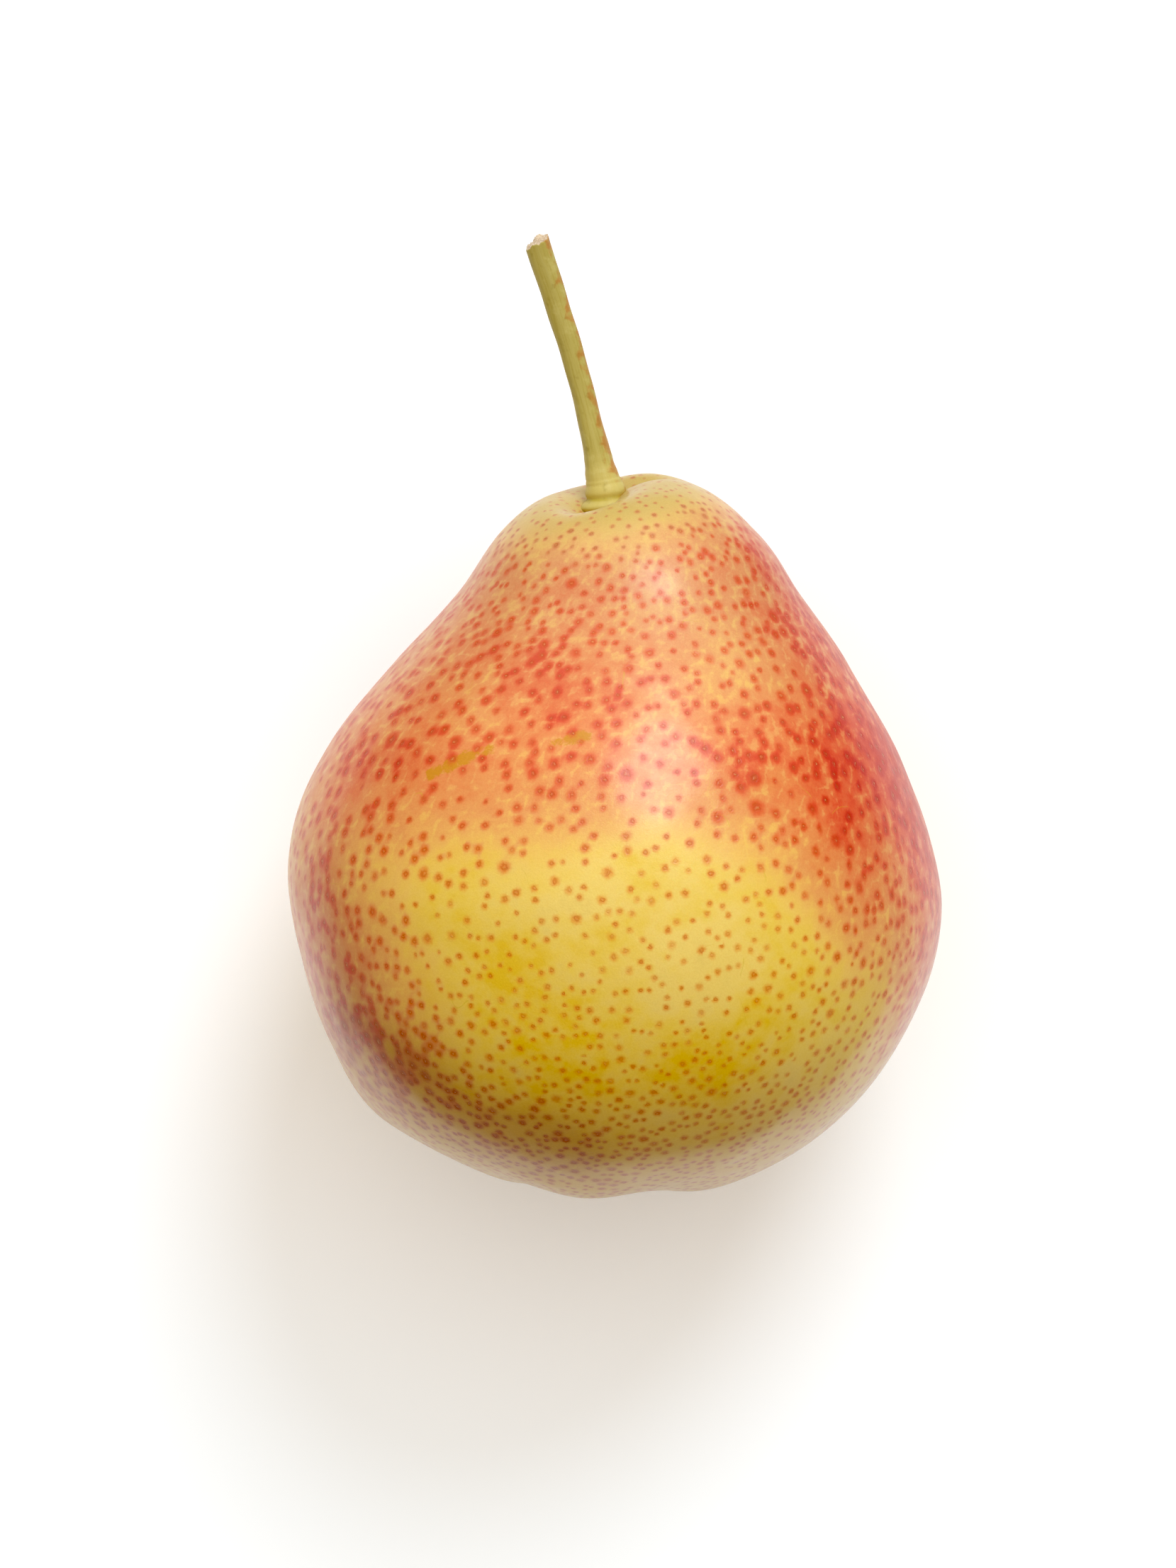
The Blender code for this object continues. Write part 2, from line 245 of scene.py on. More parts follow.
# %% Nodes written as formulas
class Wiring:
    """Adds nodes to one tree. Each method returns an output, which can be another call's input."""

    def __init__(self, tree):
        self.tree = tree

    def node(self, kind, settings=None, inputs=None):
        """Adds a shader node, sets its settings, and links or sets its inputs by name or number."""
        node = self.tree.nodes.new("ShaderNode" + kind)
        for name, value in (settings or {}).items():
            setattr(node, name, value)
        for key, value in (inputs or {}).items():
            self.feed(node.inputs[key], value)
        return node

    def feed(self, socket, value):
        """Links an output to an input, or sets the input to a number, a vector or a colour."""
        if isinstance(value, bpy.types.NodeSocket):
            self.tree.links.new(value, socket)
        else:
            socket.default_value = (*value, 1.0) if socket.type == "RGBA" else value

    def shade(self, **values):
        """Feeds the inputs of the material's shader that have these names."""
        shader = self.tree.nodes["Principled BSDF"]
        for name, value in values.items():
            self.feed(shader.inputs[name.replace("_", " ")], value)

    def math(self, operation, *values):
        """One Math node: ADD, MULTIPLY, POWER, MAXIMUM and so on."""
        return self.node("Math", {"operation": operation}, dict(enumerate(values))).outputs[0]

    def times(self, first, second):
        """first * second."""
        return self.math("MULTIPLY", first, second)

    def plus(self, first, second):
        """first + second."""
        return self.math("ADD", first, second)

    def times_plus(self, value, factor, added):
        """value * factor + added."""
        return self.math("MULTIPLY_ADD", value, factor, added)

    def vector(self, operation, *values):
        """One Vector Math node. Its outputs are "Vector", and "Value" for a length or a dot product."""
        return self.node("VectorMath", {"operation": operation}, dict(enumerate(values))).outputs

    def band(self, value, low, high, to_low=0.0, to_high=1.0):
        """An S-shaped step: to_low where value is low or less, to_high where it is high or more."""
        inputs = {"Value": value, "From Min": low, "From Max": high, "To Min": to_low, "To Max": to_high}
        settings = {"interpolation_type": "SMOOTHSTEP"}
        return self.node("MapRange", settings, inputs).outputs["Result"]

    def mix(self, share, first, second, blend="MIX"):
        """Mixes two colours: first where share is 0, second where it is 1."""
        settings = {"data_type": "RGBA", "blend_type": blend}
        return self.node("Mix", settings, {0: share, 6: first, 7: second}).outputs[2]

    def noise(self, vector, scale, detail=2.0, roughness=0.5, distortion=0.0, output="Fac"):
        """Soft random clouds from 0 to 1: the scale is how many there are to a millimetre."""
        inputs = {"Vector": vector, "Scale": scale, "Detail": detail, "Roughness": roughness}
        inputs["Distortion"] = distortion
        return self.node("TexNoise", None, inputs).outputs[output]

    def ramp(self, value, stops):
        """A colour ramp: stops are (position, colour)."""
        node = self.node("ValToRGB", None, {0: value})
        elements = node.color_ramp.elements
        while len(elements) < len(stops):
            elements.new(0.5)
        for element, (position, colour) in zip(elements, stops):
            element.position = position
            element.color = (*colour, 1.0)
        return node.outputs[0]

    def attribute(self, name, output="Fac"):
        """The value that is stored on the mesh under this name."""
        return self.node("Attribute", {"attribute_name": name}).outputs[output]

    def millimetres(self):
        """Object coordinates in millimetres."""
        place = self.node("TexCoord").outputs["Object"]
        return self.node("Mapping", None, {"Vector": place, "Scale": (1 / MM,) * 3}).outputs[0]

    def bump(self, height, distance):
        """Tilts the surface's normal as if height, times distance in metres, stood out of it."""
        return self.node("Bump", None, {"Height": height, "Distance": distance}).outputs[0]


def new_material(name, **numbers):
    """A material with a Principled BSDF, whose constant inputs are set on its own sockets."""
    material = bpy.data.materials.new(name)
    material.use_nodes = True
    wiring = Wiring(material.node_tree)
    wiring.shade(**numbers)
    return material, wiring


# %% The floor
FLOOR_SIZE = 6.0
SEEN_NEAR, SEEN_FAR = 35.0, 80.0
PAINTED_WARM_WHITE, FAR_WHITE = (0.98, 0.975, 0.97), (0.95, 0.98, 1.0)
MIRROR_NEAR, MIRROR_FAR = 75.0, 135.0
MIRROR_BRIGHT, MIRROR_DARK = (0.88, 0.83, 0.80), (0.12, 0.115, 0.11)


def new_mesh(name, points, faces, uv=None):
    """A smooth mesh of these points and faces, with a UV map where one is given."""
    mesh = bpy.data.meshes.new(name)
    mesh.from_pydata(points, [], faces)
    if uv is not None:
        mesh.uv_layers.new(name="round_and_along").data.foreach_set("uv", uv.ravel())
    mesh.shade_smooth()
    return mesh


corners = np.array([(-1, -1, 0), (1, -1, 0), (1, 1, 0), (-1, 1, 0)]) * FLOOR_SIZE / 2
floor_mesh = new_mesh("floor", corners, [(0, 1, 2, 3)])
floor = add_object("floor", floor_mesh)
floor.location.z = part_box("fruit")[0][2]
floor_white, w = new_material("matt_white", Roughness=0.9, Specular_IOR_Level=0.1)
mirrored = w.node("LightPath").outputs["Is Glossy Ray"]
from_pear = w.vector("LENGTH", w.millimetres())["Value"]
# Painted shade colour: a warmer white near the pear, where its shadow falls, and a cooler one further out.
paper_with_painted_warmth = w.mix(w.band(from_pear, SEEN_NEAR, SEEN_FAR), PAINTED_WARM_WHITE, FAR_WHITE)
mirror_colour = w.mix(w.band(from_pear, MIRROR_NEAR, MIRROR_FAR), MIRROR_BRIGHT, MIRROR_DARK)
w.shade(Base_Color=w.mix(mirrored, paper_with_painted_warmth, mirror_colour))
floor_mesh.materials.append(floor_white)
print("floor:", FLOOR_SIZE, "m wide, at height", round(floor.location.z / MM, 2), "mm")

# %% The soft box and the pale room
KEY_HEIGHT_ANGLE = radians(43.0)
KEY_TURN_RIGHT = radians(20.0)
KEY_DISTANCE = 1.2
KEY_SIZE = 0.56
KEY_POWER = 7.6
KEY_COLOUR = (0.76, 0.87, 1.0)

key = add_object("soft_box", bpy.data.lights.new("soft_box", "AREA"))
key.data.shape = "DISK"
key.data.size = KEY_SIZE
key.data.energy = KEY_POWER
key.data.color = KEY_COLOUR
level = cos(KEY_HEIGHT_ANGLE)
towards_key = level * sin(KEY_TURN_RIGHT), level * cos(KEY_TURN_RIGHT), sin(KEY_HEIGHT_ANGLE)
key.location = BELLY_MIDDLE * MM + np.array(towards_key) * KEY_DISTANCE
key.rotation_euler = key.location.to_track_quat("Z", "Y").to_euler()
print("soft box:", KEY_SIZE, "m wide, at", tuple(round(c, 2) for c in key.location))

ROOM_LEAN = radians(18.0)
ROOM_DARK_FROM, ROOM_BRIGHT_FROM = 0.0, 1.0
ROOM_DARK = (0.05, 0.05, 0.05)
ROOM_BRIGHT = (1.44, 1.37, 1.28)
MIRRORED_DARK_TO, MIRRORED_BRIGHT_FROM = 0.3, 0.95

world = bpy.data.worlds.new("pale_room")
bpy.context.scene.world = world
world.use_nodes = True
room = Wiring(world.node_tree)
look = room.node("TexCoord").outputs["Generated"]
brightest = (0.0, sin(ROOM_LEAN), cos(ROOM_LEAN))
upward = room.vector("DOT_PRODUCT", look, brightest)["Value"]
glow = room.mix(room.band(upward, ROOM_DARK_FROM, ROOM_BRIGHT_FROM), ROOM_DARK, ROOM_BRIGHT)
rays = room.node("LightPath").outputs
beyond_stem = room.vector("DOT_PRODUCT", look, (0.0, 1.0, 0.0))["Value"]
mirror_glow = room.band(beyond_stem, MIRRORED_DARK_TO, MIRRORED_BRIGHT_FROM)
mirror_glow = room.mix(mirror_glow, ROOM_DARK, ROOM_BRIGHT)
glow = room.mix(rays["Is Glossy Ray"], glow, mirror_glow)
backdrop = room.mix(rays["Is Camera Ray"], glow, (1.0, 1.0, 1.0))
room.feed(world.node_tree.nodes["Background"].inputs["Color"], backdrop)

BLACK_POINT = 0.028
view = bpy.context.scene.view_settings
view.view_transform = "Standard"
view.use_curve_mapping = True
view.curve_mapping.black_level = (BLACK_POINT,) * 3

# %% [markdown]
# ## The skin's mesh
#
# The formula is sampled on a grid of longitudes and latitudes, with the latitudes crowded towards both
# ends, where the basin and the hollow need small faces. A ring of faces joins each two rows of points,
# and a fan closes each end at a single point, so the surface has no hole and no seam.


# %% A closed surface from rings of points
def quad_corners(rows, columns):
    """The row and the column of each quad's four corners, in a grid of rows * columns quads."""
    row, column = np.meshgrid(np.arange(rows), np.arange(columns), indexing="ij")
    return row[..., None] + np.array([0, 0, 1, 1]), column[..., None] + np.array([0, 1, 1, 0])


def closed_surface(name, rings, first_end, last_end):
    """A mesh from rings of points, closed by a fan of triangles at each end.

    rings has the shape (rows, columns, 3). Quads join each row to the next, and the last column to the
    first. The UV map goes once round with u and once along with v.
    """
    rows, columns = rings.shape[:2]
    points = np.concatenate([rings.reshape(-1, 3), [first_end, last_end]])
    quad_rows, quad_columns = quad_corners(rows - 1, columns)
    quads = (quad_rows * columns + quad_columns % columns).reshape(-1, 4)
    around = np.arange(columns)
    onward = (around + 1) % columns
    first_fan = np.stack([np.full(columns, rows * columns), onward, around], axis=-1)
    top = (rows - 1) * columns
    last_fan = np.stack([top + around, top + onward, np.full(columns, rows * columns + 1)], axis=-1)

    faces = quads.tolist() + first_fan.tolist() + last_fan.tolist()
    u = [quad_columns.ravel() / columns]
    v = [quad_rows.ravel() / (rows - 1)]
    for end, corners_u in ((0.0, [0.5, 1.0, 0.0]), (1.0, [0.0, 1.0, 0.5])):
        u.append(((around[:, None] + np.array(corners_u)) / columns).ravel())
        v.append(np.full(3 * columns, end))
    return new_mesh(name, points, faces, np.column_stack([np.concatenate(u), np.concatenate(v)]))


def add_piece(name, mesh, slot, *nodes):
    """Links a finished mesh into the scene, under the pear's root body, and hides the frame's nodes it
    takes the place of.
    """
    piece = add_object(name, mesh)
    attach(piece, "root")
    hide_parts(*nodes)
    print(name, "has", len(mesh.polygons), "faces")
    return piece


# %% The skin's grid
SKIN_COLUMNS, SKIN_ROWS = 400, 238
POLE_CROWDING = 0.28
REST_SOFTNESS = 0.1

even = np.linspace(-pi / 2, pi / 2, SKIN_ROWS + 2)
crowded = even + POLE_CROWDING * np.sin(2.0 * even)
skin_longitude, skin_latitude = np.meshgrid(
    np.linspace(0.0, 2 * pi, SKIN_COLUMNS, endpoint=False), crowded[1:-1]
)
skin_longitude = np.append(skin_longitude.ravel(), [0.0, 0.0])
skin_latitude = np.append(skin_latitude.ravel(), crowded[[0, -1]])
standing_skin = pear_surface(skin_longitude, skin_latitude)

# %% [markdown]
# Even a smooth fruit has a soft, uneven surface that breaks up its highlight. A few long waves in
# random directions, added together, give bumps a few hundredths of a millimetre high and several
# millimetres wide. The rest spot is flattened by taking the larger of the height and zero, rounded off
# with a square root so that it has no sharp edge.

# %% Gentle unevenness, and the flat rest spot
random = np.random.default_rng(17)


def soft_waves(points, shortest, longest, count):
    """A sum of sine waves in random directions, scaled to about -1 to 1: soft bumps with no pattern."""
    directions = unit(random.normal(size=(count, 3)))
    waves = 2 * pi / random.uniform(shortest, longest, count)
    phases = random.uniform(0, 2 * pi, count)
    return np.sin(points @ (directions * waves[:, None]).T + phases).sum(axis=-1) / sqrt(count)


LONG_WAVE_HEIGHT, SHORT_WAVE_HEIGHT = 0.035, 0.012
outward = unit(standing_skin)
uneven = LONG_WAVE_HEIGHT * soft_waves(standing_skin, 7.0, 14.0, 14)
uneven += SHORT_WAVE_HEIGHT * soft_waves(standing_skin, 2.5, 5.0, 14)
standing_skin = standing_skin + outward * uneven[:, None]
skin_points = laid_down(standing_skin)
height = skin_points[:, 2]
skin_points[:, 2] = 0.5 * (height + np.hypot(height, REST_SOFTNESS * MM))

grid = skin_points[:-2].reshape(SKIN_ROWS, SKIN_COLUMNS, 3)
skin_mesh = closed_surface("pear_skin", grid, skin_points[-2], skin_points[-1])
add_piece("pear_skin", skin_mesh, "skin", "fruit")

# %% [markdown]
# ## Lenticels
#
# The speckles are lenticels, the pores that the skin breathes through. Each has a pale corky middle, a
# dark ring in a dark spot, and a halo that is faint on the yellow side and wide and red in the blush.
# They are crowded and small near both ends, and bigger and further apart on the shoulders.
#
# A Voronoi texture cuts through its cells at random depths, so its dots come in all sizes. These are
# placed on the skin instead. Points on a sunflower spiral are evenly spaced at any density, so the
# spiral's steps are made longer where the lenticels are sparse, and then each point wanders a little.
# Where two have come too close together, one of them goes.

# %% Scatter the lenticels
LENTICEL_LATITUDE = np.radians([-90.0, -60.0, -37.0, 0.0, 20.0, 40.0, 55.0, 70.0, 90.0])
LENTICELS_PER_SQUARE_MM = np.array([0.85, 0.90, 0.72, 0.42, 0.26, 0.38, 0.52, 0.70, 0.8])
LENTICEL_SIZE = np.array([0.8, 0.95, 1.12, 1.05, 1.2, 1.15, 1.0, 0.75, 0.5])
GOLDEN_ANGLE = pi * (3.0 - sqrt(5.0))
WANDER = 0.3
CLOSEST = 0.58


def squared_distances(first, second):
    """Between every point p of one set and every point q of another: |p|^2 + |q|^2 - 2 p.q."""
    return (first**2).sum(axis=1)[:, None] + (second**2).sum(axis=1) - 2 * first @ second.T


steps = np.linspace(-pi / 2, pi / 2, 2001)
density = np.interp(steps, LENTICEL_LATITUDE, LENTICELS_PER_SQUARE_MM)
distance = through_points(steps, OUTLINE_LATITUDE, OUTLINE_DISTANCE)
passed = np.cumsum(density * 2 * pi * distance**2 * np.cos(steps)) * (steps[1] - steps[0])
count = int(passed[-1])
spiral_latitude = np.interp(np.arange(count) + 0.5, passed, steps)
spiral_longitude = GOLDEN_ANGLE * np.arange(count)
spacing = 1.0 / np.sqrt(np.interp(spiral_latitude, steps, density))
step_angle = spacing / np.interp(spiral_latitude, steps, distance)
directions = np.stack([
    np.cos(spiral_latitude) * np.cos(spiral_longitude),
    np.cos(spiral_latitude) * np.sin(spiral_longitude),
    np.sin(spiral_latitude),
], axis=-1)
directions += random.normal(size=directions.shape) * (WANDER * step_angle)[:, None]
directions = unit(directions)

lenticel_place = np.arctan2(directions[:, 1], directions[:, 0]), np.arcsin(directions[:, 2])
lenticels = pear_surface(*lenticel_place)
too_close = squared_distances(lenticels, lenticels) < (CLOSEST * spacing[:, None]) ** 2
crowded_out = np.triu(too_close, k=1).any(axis=0)
lenticels = lenticels[~crowded_out]
lenticel_longitude, lenticel_latitude = (place[~crowded_out] for place in lenticel_place)
print(len(lenticels), "lenticels,", crowded_out.sum(), "taken out")

# %% [markdown]
# ## Where the blush lies
#
# A pear reddens where the sun reaches it. Here the shoulders and the neck are orange-pink, the right
# flank and the far left flank are red, and the lower front stays yellow. Round the stem the skin is
# yellow again. Towards the flower it is browner and darker, most of all on the lower left: partly the
# skin's own brown, partly painted shade of the underside, which faces away from the light. Each of
# these is a smooth field: a step along the height, plus soft round patches. The finer mottling comes
# from noise in the material.

# %% The blush, and the brown with its painted shade
# The two small negative patches on the front, at longitudes -84 and -88, thin the blush along the strip
# where the highlight runs down the neck and belly: partly paler skin, partly a painted highlight.
BLUSH_PATCHES = [
    (-45, 9, 18, 0.48), (-12, 12, 26, 0.4), (-6, -3, 20, 0.7),
    (-12, 34, 20, 0.2), (-20, -22, 12, 0.25), (-58, -4, 10, -0.12),
    (-134, -10, 15, 0.2), (-128, -21, 12, 0.1), (-112, 44, 16, 0.06),
    (-22, 60, 14, 0.3), (-60, 50, 9, -0.2), (-145, 16, 20, 0.25),
    (-160, -6, 18, 0.5), (-172, -28, 20, 0.2), (-88, 60, 8, -0.12),
    (-108, 27, 17, 0.12), (-84, 14, 10, -0.08), (150, 15, 30, 0.3),
    (60, 10, 26, -0.25),
]


def height_on_crown(surface):
    """The height, less 0.35 mm for each millimetre to the right, where the red reaches further up."""
    return surface[..., 2] - 0.35 * np.clip(surface[..., 0] - 1.0, 0.0, 12.0)


def blush_field(longitude, latitude):
    """How red the skin is: a step up the height that fades at the crown, plus the blush patches."""
    surface = pear_surface(longitude, latitude)
    blush = 0.5 * smooth_step(surface[..., 2], 2.0, 16.0) + patches(longitude, latitude, BLUSH_PATCHES)
    fading = 0.85 * smooth_step(height_on_crown(surface), 31.0, 40.0)
    return np.clip(blush * (1.0 - fading), 0.0, 1.1)


BROWN_AND_SHADE_PATCHES = [
    (-107, -44, 10, 0.7), (-122, -47, 10, 0.3), (-134, -32, 13, 0.9),
    (-150, -22, 13, 0.8), (-152, 0, 14, 0.3), (-75, -62, 22, 0.2),
]


def brown_and_shade_field(longitude, latitude):
    """Brown skin and painted shade: a step down the height towards the flower, plus the patches."""
    height_up = pear_surface(longitude, latitude)[..., 2]
    brown_and_shade = 0.55 * smooth_step(-height_up, 8.0, 24.0) + patches(longitude, latitude, BROWN_AND_SHADE_PATCHES)
    return np.clip(brown_and_shade, 0.0, 1.0)


blush = blush_field(skin_longitude, skin_latitude)
print("blushed share of the skin:", (blush > 0.3).mean().round(2))

# %% [markdown]
# ## From lenticels to numbers on the skin
#
# The material needs to know how far each spot is from a lenticel. Two kinds of number say so, both
# stored on the mesh. The halo is a soft glow, so one number a vertex is enough. So is the distance to
# the line halfway to the next lenticel, where the red is thinnest. The ring and the pale middle are
# smaller than a face, so each face stores, at its corners, the way from the face's nearest lenticel.
# Such a way changes in a straight line across the face, so it stays exact between corners and its
# length draws a round dot of any sharpness.
#
# In the blush the halos are drawn out along the pear, so distances along it count for less there.

# %% Each lenticel's own size, strength and stretch
FAR_AWAY = 100.0        # so that no lenticel is its own neighbour
SMALL_STEP = 0.01

lenticel_blush = blush_field(lenticel_longitude, lenticel_latitude)
lenticel_size = np.interp(lenticel_latitude, LENTICEL_LATITUDE, LENTICEL_SIZE)
lenticel_size = lenticel_size * np.exp(random.normal(0.0, 0.2, len(lenticels)))
between = squared_distances(lenticels, lenticels) + FAR_AWAY * np.eye(len(lenticels))
lenticel_size = np.minimum(lenticel_size, 0.9 * np.sqrt(between.min(axis=1)))
lenticel_strength = random.uniform(0.25, 1.0, len(lenticels))
lenticel_stretch = 1.0 + 0.12 * lenticel_blush * random.uniform(0.3, 1.3, len(lenticels))
lenticel_brown_and_shade = brown_and_shade_field(lenticel_longitude, lenticel_latitude)
lenticel_size = lenticel_size * (1.0 + 0.2 * lenticel_brown_and_shade)
halo_reach = lenticel_size * (0.46 + 0.20 * lenticel_blush + 0.14 * lenticel_brown_and_shade)
ahead = pear_surface(lenticel_longitude, lenticel_latitude + SMALL_STEP)
ahead -= pear_surface(lenticel_longitude, lenticel_latitude - SMALL_STEP)
upward_way = unit(ahead)


# %% Halos on the vertices, ways on the faces' corners
def at_their_height(points, margin=4.0):
    """Which lenticels lie no more than the margin above or below these points."""
    return (lenticels[:, 2] > points[:, 2].min() - margin) & (lenticels[:, 2] < points[:, 2].max() + margin)


def lenticel_halo(points, chunk=3000):
    """The glow of all halos: 1 - product of (1 - strength * bell(d / reach)) over the lenticels.

    d is the distance, less the part along the pear that the stretch takes away. The work is done for a
    few thousand points at a time, with the lenticels at about their height.
    """
    glow = np.empty(len(points))
    for start in range(0, len(points), chunk):
        part = points[start : start + chunk]
        near = np.flatnonzero(at_their_height(part))
        targets, ways = lenticels[near], upward_way[near]
        along = part @ ways.T - (targets * ways).sum(axis=1)
        squared = squared_distances(part, targets) - (1.0 - lenticel_stretch[near] ** -2.0) * along**2
        squared = squared / halo_reach[near] ** 2
        dark = 1.0 - (0.45 + 0.55 * lenticel_strength[near]) * np.exp(-np.clip(squared, 0.0, 50.0))
        glow[start : start + chunk] = 1.0 - dark.prod(axis=1)
    return glow


def two_nearest(points, chunk=3000):
    """Each point's nearest two lenticels, and how far they are."""
    nearest, gaps = np.empty((len(points), 2), int), np.empty((len(points), 2))
    for start in range(0, len(points), chunk):
        part = points[start : start + chunk]
        near = np.flatnonzero(at_their_height(part))
        squared = squared_distances(part, lenticels[near])
        two = np.argpartition(squared, 1, axis=1)[:, :2]
        gaps[start : start + chunk] = np.sqrt(np.clip(np.take_along_axis(squared, two, axis=1), 0.0, None))
        nearest[start : start + chunk] = near[two]
    order = gaps.argsort(axis=1)
    return np.take_along_axis(nearest, order, axis=1), np.take_along_axis(gaps, order, axis=1)


def store(mesh, name, values, domain="POINT"):
    """Stores one number or one vector a vertex, corner or face, which a material reads by its name."""
    vector = values.ndim == 2
    layer = mesh.attributes.new(name, "FLOAT_VECTOR" if vector else "FLOAT", domain)
    layer.data.foreach_set("vector" if vector else "value", np.asarray(values, np.float32).ravel())


corner_vertex = np.empty(len(skin_mesh.loops), int)
skin_mesh.loops.foreach_get("vertex_index", corner_vertex)
face_start = np.empty(len(skin_mesh.polygons), int)
skin_mesh.polygons.foreach_get("loop_start", face_start)
corners_each = np.diff(np.append(face_start, len(corner_vertex)))
face_middle = np.add.reduceat(standing_skin[corner_vertex], face_start) / corners_each[:, None]
face_lenticel = two_nearest(face_middle)[0][:, 0]
corner_lenticel = np.repeat(face_lenticel, corners_each)

way = standing_skin[corner_vertex] - lenticels[corner_lenticel]
along = (way * upward_way[corner_lenticel]).sum(axis=1, keepdims=True)
shrink = 0.5 * (1.0 - 1.0 / lenticel_stretch[corner_lenticel])[:, None]
way = (way - shrink * along * upward_way[corner_lenticel]) / lenticel_size[corner_lenticel][:, None]
halo = lenticel_halo(standing_skin)
store(skin_mesh, "way_to_lenticel", way, "CORNER")
store(skin_mesh, "lenticel_strength", lenticel_strength[face_lenticel], "FACE")
store(skin_mesh, "halo", halo)
skin_gaps = two_nearest(standing_skin)[1]
store(skin_mesh, "border_distance", (skin_gaps[:, 1] - skin_gaps[:, 0]) / 2)
print("share of the skin in a halo:", (halo > 0.4).mean().round(2))

# %% [markdown]
# The other fields are soft, so each is one number a vertex. Gold is a short row of marks across the
# left shoulder, and wide patches where the ground is a deeper yellow, or paler where they are negative.

# %% The other fields on the skin
GOLD_PATCHES = [
    (-128, 25.5, 2.2, 1.0), (-124, 27.5, 2.6, 1.0), (-120, 29.5, 2.4, 1.0),
    (-116, 31, 1.9, 0.9), (-103, 32.5, 2, 0.8), (-99, 33.5, 2.2, 1.0),
    (-96, 34, 1.8, 0.9), (-107, -9, 10, 0.6), (-108, -24, 10, 0.5),
    (-90, -21, 9, 0.35), (-72, -24, 10, 0.55), (-73, -4, 12, -0.7),
    (-94, 7, 9, -0.3),
]
store(skin_mesh, "blush", blush)
store(skin_mesh, "crown", smooth_step(height_on_crown(standing_skin), 31.0, 38.5))
store(skin_mesh, "neck", smooth_step(standing_skin[:, 2], 15.0, 32.0))
store(skin_mesh, "brown_and_shade", brown_and_shade_field(skin_longitude, skin_latitude))
store(skin_mesh, "gold", np.clip(patches(skin_longitude, skin_latitude, GOLD_PATCHES), -0.8, 1.0))

# %% [markdown]
# ## One grain for every surface
#
# Skin, stem and dried flower all have soft blotches and a fine grain on top of them, only at different
# sizes. One node group holds both, and each material places it with its own two scales. The group puts
# out plain values, which the materials turn into colour, roughness and relief.

# %% The grain group
grain_group = bpy.data.node_groups.new("blotches_and_grain", "ShaderNodeTree")
for name in ("Vector", "Blotch Scale", "Grain Scale"):
    kind = "NodeSocketVector" if name == "Vector" else "NodeSocketFloat"
    grain_group.interface.new_socket(name, in_out="INPUT", socket_type=kind)
for name in ("Blotches", "Grain"):
    grain_group.interface.new_socket(name, in_out="OUTPUT", socket_type="NodeSocketFloat")
w = Wiring(grain_group)
given = grain_group.nodes.new("NodeGroupInput").outputs
wanted = grain_group.nodes.new("NodeGroupOutput").inputs
w.feed(wanted["Blotches"], w.noise(given["Vector"], given["Blotch Scale"], 3.0, 0.6))
w.feed(wanted["Grain"], w.noise(given["Vector"], given["Grain Scale"], 2.0, 0.6))


def blotches_and_grain(wiring, place, blotch_scale, grain_scale):
    """Places the group in a material. Its two outputs are soft blotches and a fine grain, 0 to 1."""
    inputs = {"Vector": place, "Blotch Scale": blotch_scale, "Grain Scale": grain_scale}
    outputs = wiring.node("Group", {"node_tree": grain_group}, inputs).outputs
    return outputs["Blotches"], outputs["Grain"]


# %% [markdown]
# ## The skin's material
#
# The colour is built up the way the skin is. The ground is yellow, with paler and stronger clouds. Red
# pigment lies over it: some of it spread out in the blush, the rest gathered in the halos. One colour
# ramp turns the amount of pigment into yellow, orange, salmon and deep red. Over it go the golden
# marks, the brown with its painted shade towards the flower, the cooler tint of the neck and a few
# hair-thin scratches. The spot, the ring and the pale middle of each lenticel come last.
#
# A little light passes through the flesh, so the shader has some subsurface scattering. The wax is a
# clear coat with a soft shine, stronger towards the flower, and a trace of sheen is its bloom.

# %% The ground
COAT_AT_FLOWER, COAT_AT_STEM = 0.85, 0.35

skin_material, w = new_material(
    "pear_skin",
    Roughness=0.4,
    IOR=1.45,
    Subsurface_Weight=0.1,
    Subsurface_Scale=0.0010,
    Subsurface_Radius=(1.0, 0.45, 0.2),
    Coat_Weight=COAT_AT_STEM,
    Coat_Roughness=0.22,
    Sheen_Weight=0.1,
    Sheen_Roughness=0.35,
)

place = w.millimetres()
clouds = w.noise(place, 0.12, 3.0, 0.55)
mottle, grain = blotches_and_grain(w, place, 0.45, 6.0)
fibre = w.noise(place, 1.6, 4.0, 0.65, 0.6)
blush = w.times(w.attribute("blush"), w.times_plus(clouds, 0.9, 0.58))
brown_and_shade = w.attribute("brown_and_shade")
strength = w.attribute("lenticel_strength")

paleness = w.plus(w.times(clouds, 0.6), w.times(mottle, 0.4))
ground = w.ramp(w.times_plus(w.attribute("gold"), -0.24, paleness), [
    (0.34, (0.69, 0.440, 0.020)),
    (0.45, (0.72, 0.495, 0.065)),
    (0.62, (0.75, 0.535, 0.120)),
])
crown = w.plus(w.attribute("crown"), -0.8)
crown = w.band(w.times_plus(w.plus(clouds, mottle), 0.8, crown), 0.0, 0.8)
ground = w.mix(w.times(crown, 0.9), ground, (0.54, 0.375, 0.085))

